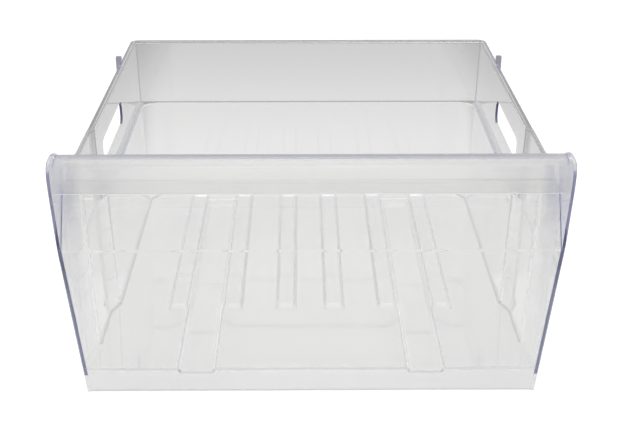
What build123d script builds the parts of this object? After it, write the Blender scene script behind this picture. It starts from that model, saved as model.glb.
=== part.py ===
from build123d import *
import os
from math import radians, tan

os.makedirs("parts", exist_ok=True)

# A clear freezer drawer, moulded in one piece: an open tub with a stepped wall, and a
# taller front panel with a pocket handle. Sizes are in millimetres. While the drawer is
# built, X is across it, Y runs to the rear from the foot of the front panel, and Z runs
# up from that foot. Pairs of numbers are points (Y, Z) as seen from the side.

# Tub
RIM_WIDTH = 400.0
RIM_REAR = 390.0
RIM_Z = 212.5
RIM_FLANGE = 3.0
RIM_THICK = 3.0
RIM_CORNER = 9.0
MOUTH_CHAMFER = 0.8
WALL = 2.5
WALL_DRAFT = tan(radians(1.5))
FLOOR_Z = 26.0
FLOOR_BEND = 3.0
LEDGE_Z = 142.0
LEDGE_STEP = 4.2
UPPER_CORNER = 1.0
LOWER_CORNER = 16.0
JOG_FRONT = 98.0
JOG_SLOPE = tan(radians(23))
LOWER_JOG_BEND = 8.0
UPPER_JOG_BEND = 1.5
FLARE_FRONT = 6.0
FLARE_REAR = 39.0
FLARE_BEND = 36.0
FLARE_GAP = 0.8

# Floor ribs and skids
RIB_WIDTH = 20.0
RIB_RISE = 2.5
RIB_SIDE = 1.75
RIB_NOSE = 12.0
RIB_FRONT = 103.0
RIB_FIRST = 23.3
RIB_PITCH = 52.0
RIBS_A_SIDE = 3
SKID_DEPTH = 4.0
SKID_TO_REAR = 10.0

# Hand slots and stop tabs in the side walls
SLOT_FRONT = 136.0
SLOT_LENGTH = 119.0
SLOT_LOW = 163.5
SLOT_HEIGHT = 24.0
SLOT_CORNER = 9.0
TAB_Y = 293.5
TAB_THICK = 3.0
TAB_OUT = 2.6
TAB_WIDTH = 6.0
TAB_UP = 10.0
TAB_DOWN = 8.2
TAB_ROUND = 1.5

# Front panel, with the corners of its front face and of the pocket behind it
PANEL = 3.0
CREASE_OVERHANG = 9.0
TOP_OVERHANG = 10.25
SIDE_BEND = 400.0
CREASE = (-22.0, 151.0)
CREASE_BEND = 4.0
POCKET_REAR = (19.0, 214.0)
POCKET_BEND = 6.0
HOOD_TOP = (-6.0, 228.8)
HOOD_BEND = 20.0
LIP_TOP = (-26.0, 214.5)
LIP_BEND = 2.0
LIP_FOOT = (-26.5, 204.5)
EDGE_ROUND = 1.0

# Ears at the two ends of the pocket, and the return along the panel's sides
EAR = 3.0
EAR_FRONT_Z = 210.0
EAR_FRONT_BEND = 60.0
EAR_RISE = 2.7
EAR_BROW_BEND = 11.0
EAR_CREST_Y = -4.0
EAR_CREST_BEND = 30.0
EAR_REAR = (24.0, 214.0)
RETURN_FOOT = 4.0
RETURN_TOP = 9.0

rim_half = RIM_WIDTH / 2
rear_half = rim_half - RIM_FLANGE - WALL
front_half = rim_half - WALL
rear_inside = RIM_REAR - RIM_FLANGE - WALL
floor_draft = (RIM_Z - FLOOR_Z) * WALL_DRAFT
floor_rear = rear_inside - LEDGE_STEP - floor_draft

# Lengths that only have to reach past the drawer
far = RIM_WIDTH + RIM_REAR
ahead = -RIM_WIDTH / 4
above = RIM_Z + RIM_WIDTH / 8


def polygon(points, bends=0):
    """A closed outline with rounded corners."""
    return make_face(FilletPolyline(*points, radius=bends, close=True))


def side_view(face, half):
    """A YZ outline drawn out to both sides of the middle plane."""
    return extrude(Plane.YZ * face, amount=half, both=True)


def mirrored(right):
    """Points of a right half, followed by those of the left half."""
    return right + [(-x, y) for x, y in reversed(right)]


def panel_half(z):
    """Half the front panel's width: its sides flare to the crease, then stand almost upright."""
    flared = CREASE_OVERHANG * min(z / CREASE[1], 1.0)
    upright = (TOP_OVERHANG - CREASE_OVERHANG) * max(z - CREASE[1], 0.0) / (above - CREASE[1])
    return rim_half + flared + upright


# Tub outline at one height: it opens out to the panel's edges at its front, is wide up to the
# jog in the side walls, and narrow behind it
def plan(z, step, corner, jog_bend, grow):
    drawn = (RIM_Z - z) * WALL_DRAFT
    flared = panel_half(z) - FLARE_GAP - WALL + grow
    wide = front_half - drawn + grow
    narrow = rear_half - step - drawn + grow
    rear = rear_inside - step - drawn + grow
    right = [
        (flared, ahead),
        (flared, FLARE_FRONT),
        (wide, FLARE_REAR),
        (wide, JOG_FRONT),
        (narrow, JOG_FRONT + (wide - narrow) / JOG_SLOPE),
        (narrow, rear),
    ]
    bends = [0, FLARE_BEND, FLARE_BEND, jog_bend, jog_bend, corner + grow]
    return Pos(0, 0, z) * polygon(mirrored(right), bends + bends[::-1])


# Lower and upper halves of the tub, with the step of the ledge between them
def lower_plan(z, grow):
    return plan(z, LEDGE_STEP, LOWER_CORNER, LOWER_JOG_BEND, grow)


def upper_plan(z, grow):
    return plan(z, 0.0, UPPER_CORNER, UPPER_JOG_BEND, grow)


def tub(low, ledge, high, grow):
    lower = loft([lower_plan(z, grow) for z in (low, ledge)], ruled=True)
    lower = fillet(lower.edges().group_by(Axis.Z)[0], FLOOR_BEND + grow)
    upper = loft([upper_plan(z, grow) for z in (ledge, high)], ruled=True)
    return lower + upper


inside = tub(FLOOR_Z, LEDGE_Z, above, 0.0)
outside = tub(FLOOR_Z - WALL, LEDGE_Z - WALL, RIM_Z, WALL)
mouth_low = upper_plan(RIM_Z - MOUTH_CHAMFER, 0.0)
mouth_high = upper_plan(RIM_Z + MOUTH_CHAMFER, 2 * MOUTH_CHAMFER)
inside += loft([mouth_low, mouth_high], ruled=True)


# A raised or sunk pad with sloping sides and a longer slope at its front end
def pad(x, width, front, rear, foot, rise, side, nose):
    outlines = []
    for z, inset, start in ((foot, 0.0, 0.0), (foot + rise, side, nose)):
        middle = (front + start + rear - inset) / 2
        outline = Rectangle(width - 2 * inset, rear - inset - front - start)
        outlines.append(Pos(x, middle, z) * outline)
    return loft(outlines, ruled=True)


# Six ribs stand on the floor, run into the rear wall and are hollow below. The gaps beside
# the outer ribs are sunk and stand out below as skids. The floor keeps its thickness on the
# slopes.
slope = RIB_SIDE / RIB_RISE
inset = WALL * ((1 + slope**2) ** 0.5 - slope)
floor_under = FLOOR_Z - WALL
skid_rear = floor_rear - SKID_TO_REAR
skid_width = RIB_PITCH - RIB_WIDTH
skid_side = SKID_DEPTH * slope
rib_xs = [RIB_FIRST + i * RIB_PITCH for i in range(RIBS_A_SIDE)]
for side in (-1, 1):
    for rib_x in rib_xs:
        x = side * rib_x
        inside -= pad(x, RIB_WIDTH, RIB_FRONT, RIM_REAR, FLOOR_Z, RIB_RISE, RIB_SIDE, RIB_NOSE)
        width, front = RIB_WIDTH - 2 * inset, RIB_FRONT + inset
        outside -= pad(x, width, front, floor_rear, floor_under, RIB_RISE, RIB_SIDE, RIB_NOSE)
    x = side * (rib_xs[-1] - RIB_PITCH / 2)
    inside += pad(x, skid_width, ahead, skid_rear, FLOOR_Z, -SKID_DEPTH, skid_side, 0.0)
    width, rear = skid_width + 2 * inset, skid_rear + inset
    outside += pad(x, width, ahead, rear, floor_under, -SKID_DEPTH, skid_side, 0.0)

# Rim flange around the tub's mouth
rim_front = panel_half(RIM_Z) - FLARE_GAP
rim_points = [
    (rim_front, ahead),
    (rim_front, FLARE_FRONT),
    (rim_half, FLARE_REAR),
    (rim_half, RIM_REAR),
]
rim_bends = [0, FLARE_BEND, FLARE_BEND, RIM_CORNER]
rim_plan = polygon(mirrored(rim_points), rim_bends + rim_bends[::-1])
rim = extrude(Pos(0, 0, RIM_Z - RIM_THICK) * rim_plan, amount=RIM_THICK)
rim = fillet(rim.faces().filter_by(Axis.Z).edges(), EDGE_ROUND)

# The tub ends inside the thickness of the front panel.
front_points = [(0.0, 0.0), CREASE, POCKET_REAR, HOOD_TOP, LIP_TOP, LIP_FOOT]
middle = [(y + PANEL / 2, z) for y, z in front_points[:3]]
low_front, high_front = (middle[0][0], -far), (middle[2][0], far)
behind = side_view(polygon([low_front, *middle, high_front, (far, far), (far, -far)]), far)
body = ((outside + rim) - inside) & behind

# Hand slots through the side walls, for lifting the drawer out
slot = RectangleRounded(SLOT_LENGTH, SLOT_HEIGHT, SLOT_CORNER)
slot_at = Pos(SLOT_FRONT + SLOT_LENGTH / 2, SLOT_LOW + SLOT_HEIGHT / 2)
body -= side_view(slot_at * slot, far)


# The front panel's outline from the front
def front_outline(narrowing):
    right = [(panel_half(z) - narrowing, z) for z in (ahead, CREASE[1], above)]
    bends = [0, SIDE_BEND, 0]
    outline = polygon(mirrored(right), bends + bends[::-1])
    return extrude(Plane.XZ * outline, amount=RIM_WIDTH / 2, both=True)


# Panel of even thickness: bent back at the crease into the pocket, and forward over it
# again as a hood with a hanging lip
front_path = FilletPolyline(
    *front_points, radius=[CREASE_BEND, POCKET_BEND, HOOD_BEND, LIP_BEND]
)
panel_face = make_face(offset(front_path, PANEL, side=Side.RIGHT, closed=True))
ends = panel_face.vertices().sort_by_distance(Vertex(*LIP_FOOT, 0))[:2]
ends += panel_face.vertices().sort_by_distance(Vertex(0, 0, 0))[:2]
panel = side_view(fillet(ends, EDGE_ROUND), far) & front_outline(EAR / 2)

# Ears close the ends of the pocket, and run down behind the panel's sides as a return.
lean = CREASE[0] / CREASE[1]
ear_front = lean * EAR_FRONT_Z
ear_top = HOOD_TOP[1] + EAR_RISE
ear_points = [
    (0.0, 0.0),
    (ear_front, EAR_FRONT_Z),
    (ear_front, ear_top),
    (EAR_CREST_Y, ear_top),
    EAR_REAR,
    (CREASE[0] + RETURN_TOP, CREASE[1]),
    (RETURN_FOOT, 0.0),
]
ear_face = polygon(ear_points, [0, EAR_FRONT_BEND, EAR_BROW_BEND, EAR_CREST_BEND, 0, 0, 0])
ears = side_view(ear_face, far) & (front_outline(0.0) - front_outline(EAR))
outer_edges = [
    edge
    for edge in ears.edges()
    if edge.length > 2 * EAR
    and edge.center().Z < CREASE[1] / 2
    and abs(edge.center().Y - lean * edge.center().Z) < EDGE_ROUND / 100
    and abs(edge.center().X) > rim_half + EAR
]
ears = fillet(outer_edges, EDGE_ROUND)
drawer = body + panel + ears

# Stop tabs on the rim, with rounded tops
tab = Box(TAB_WIDTH, TAB_THICK, TAB_UP + TAB_DOWN)
tab = fillet(tab.edges().filter_by(Axis.Y).group_by(Axis.Z)[-1], TAB_ROUND)
for side in (-1, 1):
    tab_x = side * (rim_half + TAB_OUT - TAB_WIDTH / 2)
    drawer += Pos(tab_x, TAB_Y, RIM_Z + (TAB_UP - TAB_DOWN) / 2) * tab

# The finished drawer stands with the middle of its footprint over the origin.
box = drawer.bounding_box()
drawer = Pos(0, -(box.min.Y + box.max.Y) / 2, -box.min.Z) * drawer
export_step(drawer, "parts/drawer.step")
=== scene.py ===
import math

import bmesh
import bpy
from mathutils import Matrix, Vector
from mathutils.bvhtree import BVHTree


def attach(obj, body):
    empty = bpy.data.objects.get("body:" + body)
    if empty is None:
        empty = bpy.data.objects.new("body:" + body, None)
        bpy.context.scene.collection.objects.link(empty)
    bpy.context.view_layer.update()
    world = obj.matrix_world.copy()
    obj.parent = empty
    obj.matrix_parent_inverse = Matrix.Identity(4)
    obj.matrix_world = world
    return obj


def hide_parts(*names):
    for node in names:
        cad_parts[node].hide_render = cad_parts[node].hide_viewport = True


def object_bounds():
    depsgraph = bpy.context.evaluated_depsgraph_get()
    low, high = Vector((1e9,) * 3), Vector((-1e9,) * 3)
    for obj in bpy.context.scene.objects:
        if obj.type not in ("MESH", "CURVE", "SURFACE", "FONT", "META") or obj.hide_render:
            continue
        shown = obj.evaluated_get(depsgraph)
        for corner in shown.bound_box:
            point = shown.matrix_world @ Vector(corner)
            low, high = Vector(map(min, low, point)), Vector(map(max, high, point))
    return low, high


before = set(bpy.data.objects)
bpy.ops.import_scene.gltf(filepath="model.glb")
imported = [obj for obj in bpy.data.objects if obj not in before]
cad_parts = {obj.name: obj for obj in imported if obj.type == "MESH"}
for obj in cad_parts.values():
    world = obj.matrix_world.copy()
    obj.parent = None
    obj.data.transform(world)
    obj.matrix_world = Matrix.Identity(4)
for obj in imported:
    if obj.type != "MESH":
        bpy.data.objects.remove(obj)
cad_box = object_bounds()


# The drawer: an open tub with stepped walls, a ribbed floor and a taller front panel that bends
# into a pocket handle. It is one injection moulding in clear polystyrene, 2.5 to 3 mm thick, with
# the blue-violet toner that such plastic gets, so its walls look nearly clear. Its edges and bends
# get painted shade by place: dark grey for the lines that refraction draws there, and blue that is
# partly the toner seen through deep plastic and partly painted shade.
WELD = 2e-6
SHARP_BEND = math.radians(28)
FLAT_WALL_WEIGHT = 50

# Places on the front panel and its handle
PANEL_FOOT_HALF = 0.200
PANEL_CREASE_HALF = 0.209
CREASE_Z = 0.151
FOOT_Z = 0.0012
EDGE_BAND = 0.0036
BAND_CUTS = 8
EAR_IN = 0.2058
EAR_Z = (0.145, 0.195)
EAR_CUTS = [0.151, 0.160, 0.170, 0.182, 0.195]
HOOD_Z = (0.220, 0.230)
BROW_Z = 0.2245
SATIN_Y = -0.187
SATIN_Z = 0.2035

# Places on the tub
TUB_FRONT_Y = -0.14
FLOOR_TOP = (0.0261, 0.0289)
LEDGE_Z = 0.142
JOG_Y = (-0.0825, -0.0735)
CORNER_Y = 0.195
SLOT_END_Y = (0.06, 0.08)
RIM_FOOT_Z = 0.2093
RIM_Z = 0.2125
RIM_SIDE_X = 0.19
RIM_FRONT_Y = -0.172
TAB_OUT = 0.2005

# How far a face's normal turns towards an axis before the face counts as leaning, level and so on
LEAN = 0.25
BROW_TILT = 0.3
HOOD_TILT = 0.5
LEVEL = 0.9
SIDEWAYS = 0.95

# Depths of plastic behind a face: a plain sheet's, and the one from which an edge has its full painted
# tone
SHEET_DEPTH = 0.006
BLUE_DEPTH = 0.015
NARROW = 0.006
TOWARDS_CORNER = 0.7

# Painted edge tones by place. Each is a share of edge grey, which is painted shade, and then a share of
# edge blue, which is partly the toner's own blue and partly painted shade
CLEAR = (0.0, 0.0)
FLOOR_BEND = (0.36, 0.0)
REAR_LEDGE = (0.78, 0.0)
SIDE_LEDGE = (0.42, 0.12)
WALL_BEND = (0.33, 0.0)
SLOT_END = (1.0, 0.10)
RIM = (0.58, 0.0)
TAB = (0.26, 0.20)
FOOT = (0.40, 0.0)
HOOD = (0.48, 0.30)
HOOD_BROW = (0.13, 0.02)
EAR = (0.05, 0.20)
PANEL_SIDE = (0.06, 0.03)

# Heights up the panel's side edges, with the painted shade and blue tones there
PANEL_EDGE = (
    (0.0, (0.90, 0.20)),
    (0.10, (0.92, 0.20)),
    (0.125, (0.97, 0.12)),
    (0.14, (1.0, 0.07)),
    (0.155, (0.95, 0.20)),
    (0.19, (0.80, 0.45)),
    (0.215, (0.40, 0.60)),
)

WALL_COLOUR = (0.975, 0.975, 0.970, 1.0)
# The edge grey is painted shade, near black, for the dark lines that refraction draws at bends and edges.
# The edge blue is partly the toner's own blue through deep plastic and partly painted shade.
EDGE_SHADE = (0.010, 0.011, 0.014, 1.0)
EDGE_BLUE = (0.06, 0.08, 0.60, 1.0)
SCUFF_RANGE = (0.35, 0.75)
GLOSSY_ROUGHNESS = (0.015, 0.07)
SATIN_ROUGHNESS = 0.18
INNER_REFLECTIONS = 1.5


def cut(shell, place, across):
    everything = shell.verts[:] + shell.edges[:] + shell.faces[:]
    bmesh.ops.bisect_plane(shell, geom=everything, dist=WELD, plane_co=place, plane_no=across)


def cut_edge_bands(shell):
    rise = Vector((PANEL_CREASE_HALF - PANEL_FOOT_HALF, 0.0, CREASE_Z))
    up = Vector((0.0, 0.0, 1.0))
    for side in (-1, 1):
        for half, z, way in ((PANEL_FOOT_HALF, 0.0, rise), (PANEL_CREASE_HALF, CREASE_Z, up)):
            inner = Vector((side * (half - EDGE_BAND), 0.0, z))
            cut(shell, inner, Vector((way.z, 0.0, -side * way.x)).normalized())
    band_cuts = [CREASE_Z * band / BAND_CUTS for band in range(1, BAND_CUTS)]
    for z in band_cuts + EAR_CUTS + [RIM_FOOT_Z]:
        cut(shell, Vector((0.0, 0.0, z)), up)


def plastic_behind(face, tree):
    middle = face.calc_center_median()
    depths = []
    for spot in [middle] + [middle.lerp(corner.co, TOWARDS_CORNER) for corner in face.verts]:
        far_side = tree.ray_cast(spot - face.normal * WELD, -face.normal, BLUE_DEPTH)
        depths.append(BLUE_DEPTH if far_side[3] is None else far_side[3])
    longest = max(edge.calc_length() for edge in face.edges)
    return max(depths) if 2 * face.calc_area() < NARROW * longest else min(depths)


def part_way(start, end, share):
    share = min(max(share, 0.0), 1.0)
    return tuple(a + (b - a) * share for a, b in zip(start, end))


def panel_edge(z):
    for (low, tones), (high, next_tones) in zip(PANEL_EDGE, PANEL_EDGE[1:]):
        if z < high:
            return part_way(tones, next_tones, (z - low) / (high - low))
    return PANEL_EDGE[-1][1]


def panel_tones(x, z, facing, depth):
    if z < FOOT_Z:
        return FOOT
    if z > HOOD_Z[0] and facing.y > 0.0 and facing.z > HOOD_TILT:
        return part_way(CLEAR, HOOD, (z - HOOD_Z[0]) / (HOOD_Z[1] - HOOD_Z[0]))
    if z > BROW_Z and facing.z > BROW_TILT:
        return HOOD_BROW
    if facing.z > LEVEL:
        return CLEAR
    if abs(facing.x) > SIDEWAYS and abs(x) > PANEL_FOOT_HALF - WELD:
        return part_way(PANEL_SIDE, EAR, (z - EAR_Z[0]) / (EAR_Z[1] - EAR_Z[0]))
    return part_way(CLEAR, panel_edge(z), (depth - SHEET_DEPTH) / (BLUE_DEPTH - SHEET_DEPTH))


def tub_tones(x, y, z, facing):
    if y > 0.0 and (z > RIM_Z or abs(x) > TAB_OUT):
        return TAB
    if z > RIM_FOOT_Z:
        return RIM
    if abs(facing.z) > LEVEL and abs(z - LEDGE_Z) < WELD:
        return REAR_LEDGE if y > CORNER_Y else SIDE_LEDGE
    if z > LEDGE_Z and SLOT_END_Y[0] < y < SLOT_END_Y[1] and facing.y < -LEAN:
        return SLOT_END
    if z > LEDGE_Z and JOG_Y[0] < y < JOG_Y[1] and abs(facing.y) > LEAN and facing.x * x < 0.0:
        return WALL_BEND
    if z > LEDGE_Z and y > CORNER_Y and facing.y < -LEAN and abs(facing.x) > LEAN:
        return WALL_BEND
    if FLOOR_TOP[0] < z < FLOOR_TOP[1] and abs(facing.x) > LEAN and facing.z > LEAN:
        return FLOOR_BEND
    return CLEAR


# Painted edge shade and edge blue for a face, chosen by where the face sits
def edge_tones(face, tree):
    x, y, z = face.calc_center_median()
    rim_height = RIM_FOOT_Z < z < RIM_Z + WELD
    front_of_rim = rim_height and RIM_SIDE_X < abs(x) < EAR_IN and y > RIM_FRONT_Y
    if y < TUB_FRONT_Y and not front_of_rim:
        return panel_tones(x, z, face.normal, plastic_behind(face, tree))
    return tub_tones(x, y, z, face.normal)


def moulding_from(node, name):
    mesh = bpy.data.meshes.new(name)
    shell = bmesh.new()
    shell.from_mesh(node.data)
    bmesh.ops.remove_doubles(shell, verts=shell.verts, dist=WELD)
    bmesh.ops.dissolve_degenerate(shell, edges=shell.edges, dist=WELD)
    cut_edge_bands(shell)
    tree = BVHTree.FromBMesh(shell)
    # Each face gets its share of painted edge shade and of edge blue, chosen by place
    painted_shade = shell.faces.layers.float.new("painted_edge_shade")
    blue = shell.faces.layers.float.new("edge_blue")
    satin = shell.faces.layers.float.new("satin")
    for face in shell.faces:
        x, y, z = face.calc_center_median()
        face[painted_shade], face[blue] = edge_tones(face, tree)
        face[satin] = 1.0 if y < SATIN_Y and z > SATIN_Z and abs(x) < EAR_IN else 0.0
        face.smooth = True
    for edge in shell.edges:
        edge.smooth = edge.is_manifold and edge.calc_face_angle(math.pi) < SHARP_BEND
    shell.to_mesh(mesh)
    shell.free()
    return mesh


def plain_mesh(piece):
    bpy.context.view_layer.update()
    graph = bpy.context.evaluated_depsgraph_get()
    finished = bpy.data.meshes.new_from_object(piece.evaluated_get(graph))
    finished.name = piece.name
    piece.modifiers.clear()
    piece.data = finished


def feed(tree, socket, value):
    if isinstance(value, bpy.types.NodeSocket):
        tree.links.new(value, socket)
    else:
        socket.default_value = value


def maths(tree, operation, *values):
    node = tree.nodes.new("ShaderNodeMath")
    node.operation = operation
    for socket, value in zip(node.inputs, values):
        feed(tree, socket, value)
    return node.outputs[0]


def graded(tree, value, start, end, at_start, at_end, easing="LINEAR"):
    ramp = tree.nodes.new("ShaderNodeMapRange")
    ramp.interpolation_type = easing
    ramp.inputs["From Min"].default_value = start
    ramp.inputs["From Max"].default_value = end
    ramp.inputs["To Min"].default_value = at_start
    ramp.inputs["To Max"].default_value = at_end
    tree.links.new(value, ramp.inputs["Value"])
    return ramp.outputs["Result"]


def face_share(tree, name):
    share = tree.nodes.new("ShaderNodeAttribute")
    share.attribute_name = name
    return share.outputs["Fac"]


def noise(tree, place, scale, detail):
    pattern = tree.nodes.new("ShaderNodeTexNoise")
    pattern.inputs["Scale"].default_value = scale
    pattern.inputs["Detail"].default_value = detail
    tree.links.new(place, pattern.inputs["Vector"])
    return pattern.outputs["Fac"]


def clear_polystyrene():
    material = bpy.data.materials.new("clear_polystyrene")
    material.use_nodes = True
    tree = material.node_tree
    tree.nodes.clear()
    link = tree.links.new
    place = tree.nodes.new("ShaderNodeTexCoord").outputs["Object"]
    plastic = tree.nodes.new("ShaderNodeBsdfPrincipled")
    plastic.inputs["IOR"].default_value = 1.59
    plastic.inputs["Transmission Weight"].default_value = 1.0
    # The base colour has painted shade on it by face: edge grey as painted shade, and edge blue that is
    # partly the toner's blue and partly painted shade, both over the clear wall colour
    colour = WALL_COLOUR
    for name, tone in (("painted_edge_shade", EDGE_SHADE), ("edge_blue", EDGE_BLUE)):
        tint = tree.nodes.new("ShaderNodeMix")
        tint.data_type = "RGBA"
        feed(tree, tint.inputs["Factor"], face_share(tree, name))
        feed(tree, tint.inputs["A"], colour)
        feed(tree, tint.inputs["B"], tone)
        colour = tint.outputs["Result"]
    link(colour, plastic.inputs["Base Color"])
    scuffs = noise(tree, place, scale=35.0, detail=6.0)
    gloss = graded(tree, scuffs, *SCUFF_RANGE, *GLOSSY_ROUGHNESS)
    dull = maths(tree, "MULTIPLY_ADD", face_share(tree, "satin"), SATIN_ROUGHNESS, gloss)
    link(dull, plastic.inputs["Roughness"])
    waves = tree.nodes.new("ShaderNodeBump")
    waves.inputs["Strength"].default_value = 0.25
    waves.inputs["Distance"].default_value = 0.001
    link(noise(tree, place, scale=9.0, detail=1.0), waves.inputs["Height"])
    link(waves.outputs["Normal"], plastic.inputs["Normal"])
    toner = tree.nodes.new("ShaderNodeVolumeAbsorption")
    toner.inputs["Color"].default_value = (0.10, 0.13, 0.50, 1.0)
    toner.inputs["Density"].default_value = 1.2
    # Shadow rays, and light that a sheet has guided over two reflections, go straight through,
    # because thin edges would turn black once the ray runs out of bounces
    through = tree.nodes.new("ShaderNodeBsdfTransparent")
    through.inputs["Color"].default_value = (0.965, 0.965, 0.965, 1.0)
    ray = tree.nodes.new("ShaderNodeLightPath")
    guided = maths(tree, "GREATER_THAN", ray.outputs["Glossy Depth"], INNER_REFLECTIONS)
    choose = tree.nodes.new("ShaderNodeMixShader")
    out = tree.nodes.new("ShaderNodeOutputMaterial")
    link(maths(tree, "MAXIMUM", ray.outputs["Is Shadow Ray"], guided), choose.inputs["Fac"])
    link(plastic.outputs["BSDF"], choose.inputs[1])
    link(through.outputs["BSDF"], choose.inputs[2])
    link(choose.outputs["Shader"], out.inputs["Surface"])
    link(toner.outputs["Volume"], out.inputs["Volume"])
    return material


moulding = moulding_from(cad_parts["drawer"], "freezer_drawer")
drawer = bpy.data.objects.new("freezer_drawer", moulding)
bpy.context.scene.collection.objects.link(drawer)
flats = drawer.modifiers.new("flat_walls", "WEIGHTED_NORMAL")
flats.mode = "FACE_AREA"
flats.weight = FLAT_WALL_WEIGHT
flats.keep_sharp = True
plain_mesh(drawer)
drawer.data.materials.clear()
drawer.data.materials.append(clear_polystyrene())
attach(drawer, "root")
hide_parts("drawer")


# The studio floor: a wide sheet of white paper, flat under the drawer. It shows white to the camera
# and glows a little in the plastic. Its tone is lowered beside the drawer and behind it with painted
# shade, standing in for the drawer's soft shadow at its sides and the light falling off behind, so
# that the clear walls stand out.
FLOOR_HALF = 6.0
PAPER_MIDDLE = 0.01
PAPER_WHITE = 0.88
# The back and side values below paint shade into the paper: darker behind the drawer, and a soft painted
# shadow beside it
PAPER_BACK_SHADE = 0.70
PAPER_BACK_SHADE_Y = (0.35, 0.95)
PAPER_SIDE_SHADE = -0.32
PAPER_SIDE_SHADE_X = (0.22, 0.33)
PAPER_SIDE_SHADE_Y = (-0.05, 0.35)
PAPER_SIDE_SHADE_NEAR = 0.25
PAPER_LIT = 0.96
CAMERA_WHITE = 1.25
GLOW_IN_PLASTIC = 0.055


def studio_paper():
    material = bpy.data.materials.new("studio_paper")
    material.use_nodes = True
    tree = material.node_tree
    tree.nodes.clear()
    link = tree.links.new
    place = tree.nodes.new("ShaderNodeTexCoord")
    spot = tree.nodes.new("ShaderNodeSeparateXYZ")
    link(place.outputs["Object"], spot.inputs["Vector"])
    # Painted shade: the paper's tone is darkened beside the drawer and towards the back
    from_middle = maths(tree, "ABSOLUTE", maths(tree, "SUBTRACT", spot.outputs["X"], PAPER_MIDDLE))
    aside = graded(tree, from_middle, *PAPER_SIDE_SHADE_X, 0.0, 1.0, "SMOOTHSTEP")
    beyond = graded(tree, spot.outputs["Y"], *PAPER_SIDE_SHADE_Y, PAPER_SIDE_SHADE_NEAR, 1.0, "SMOOTHSTEP")
    side_shade = maths(tree, "MULTIPLY_ADD", maths(tree, "MULTIPLY", aside, beyond), PAPER_SIDE_SHADE, 1.0)
    back_shade = graded(tree, spot.outputs["Y"], *PAPER_BACK_SHADE_Y, PAPER_WHITE, PAPER_BACK_SHADE, "SMOOTHSTEP")
    tone = maths(tree, "MULTIPLY", back_shade, side_shade)
    paper = tree.nodes.new("ShaderNodeBsdfDiffuse")
    link(tone, paper.inputs["Color"])
    ray = tree.nodes.new("ShaderNodeLightPath")
    seen_through = maths(tree, "MAXIMUM", ray.outputs["Is Transmission Ray"], ray.outputs["Is Glossy Ray"])
    in_plastic = maths(tree, "MULTIPLY", seen_through, GLOW_IN_PLASTIC)
    to_white = maths(tree, "MULTIPLY_ADD", tone, -PAPER_LIT, CAMERA_WHITE)
    glow = tree.nodes.new("ShaderNodeEmission")
    level = maths(tree, "MULTIPLY_ADD", ray.outputs["Is Camera Ray"], to_white, in_plastic)
    link(level, glow.inputs["Strength"])
    both = tree.nodes.new("ShaderNodeAddShader")
    out = tree.nodes.new("ShaderNodeOutputMaterial")
    link(paper.outputs["BSDF"], both.inputs[0])
    link(glow.outputs["Emission"], both.inputs[1])
    link(both.outputs["Shader"], out.inputs["Surface"])
    return material


sheet = bpy.data.meshes.new("studio_floor")
ground = cad_box[0][2]
corners = [(x * FLOOR_HALF, y * FLOOR_HALF, ground) for x, y in ((-1, -1), (1, -1), (1, 1), (-1, 1))]
sheet.from_pydata(corners, [], [(0, 1, 2, 3)])
sheet.materials.append(studio_paper())
floor = bpy.data.objects.new("studio_floor", sheet)
bpy.context.scene.collection.objects.link(floor)


# The studio light: two large soft boxes, one over the drawer and one at its left, in a pale room
# that is brighter overhead and behind. The room shows at full strength to the camera and in the
# plastic.
ROOM_OVERHEAD_Z = (0.0, 0.9)
ROOM_OVERHEAD = (0.45, 0.85)
ROOM_BEHIND_Y = (0.1, 0.8)
ROOM_BEHIND = (0.0, 0.95)


def soft_box(name, place, aim, width, height, watts):
    lamp = bpy.data.lights.new(name, "AREA")
    lamp.shape = "RECTANGLE"
    lamp.size = width
    lamp.size_y = height
    lamp.energy = watts
    box = bpy.data.objects.new(name, lamp)
    box.location = place
    box.rotation_euler = (Vector(aim) - Vector(place)).to_track_quat("-Z", "Y").to_euler()
    bpy.context.scene.collection.objects.link(box)


soft_box("overhead_box", place=(0.0, 0.35, 1.5), aim=(0.0, 0.25, 0.0), width=1.4, height=1.2, watts=7.0)
soft_box("left_box", place=(-1.9, -0.7, 1.3), aim=(0.0, 0.0, 0.1), width=1.4, height=1.4, watts=2.0)

world = bpy.data.worlds.new("studio_room")
world.use_nodes = True
room = world.node_tree
room.nodes.clear()
direction = room.nodes.new("ShaderNodeTexCoord")
bearing = room.nodes.new("ShaderNodeSeparateXYZ")
room.links.new(direction.outputs["Generated"], bearing.inputs["Vector"])
overhead = graded(room, bearing.outputs["Z"], *ROOM_OVERHEAD_Z, *ROOM_OVERHEAD)
behind = graded(room, bearing.outputs["Y"], *ROOM_BEHIND_Y, *ROOM_BEHIND, "SMOOTHSTEP")
room_level = maths(room, "MAXIMUM", overhead, behind)
sight = room.nodes.new("ShaderNodeLightPath")
for kind in ("Is Camera Ray", "Is Transmission Ray", "Is Glossy Ray"):
    room_level = maths(room, "MAXIMUM", room_level, sight.outputs[kind])
walls = room.nodes.new("ShaderNodeBackground")
world_out = room.nodes.new("ShaderNodeOutputWorld")
room.links.new(room_level, walls.inputs["Strength"])
room.links.new(walls.outputs["Background"], world_out.inputs["Surface"])
bpy.context.scene.world = world
bpy.context.scene.view_settings.view_transform = "Standard"


# The camera: it stands in front of the drawer and above it, a little to the left of its middle, and
# looks down into the tub from where the photograph was taken.
CAMERA_PLACE = (-0.00801, -1.03022, 0.56397)
CAMERA_DOWN = 24.624
CAMERA_RIGHT = 0.383

lens = bpy.data.cameras.new("camera")
lens.sensor_fit = "HORIZONTAL"
lens.sensor_width = 36.0
lens.lens = 65.70
camera = bpy.data.objects.new("camera", lens)
camera.location = CAMERA_PLACE
camera.rotation_euler = (math.radians(90 - CAMERA_DOWN), 0.0, math.radians(-CAMERA_RIGHT))
bpy.context.scene.collection.objects.link(camera)
bpy.context.scene.camera = camera
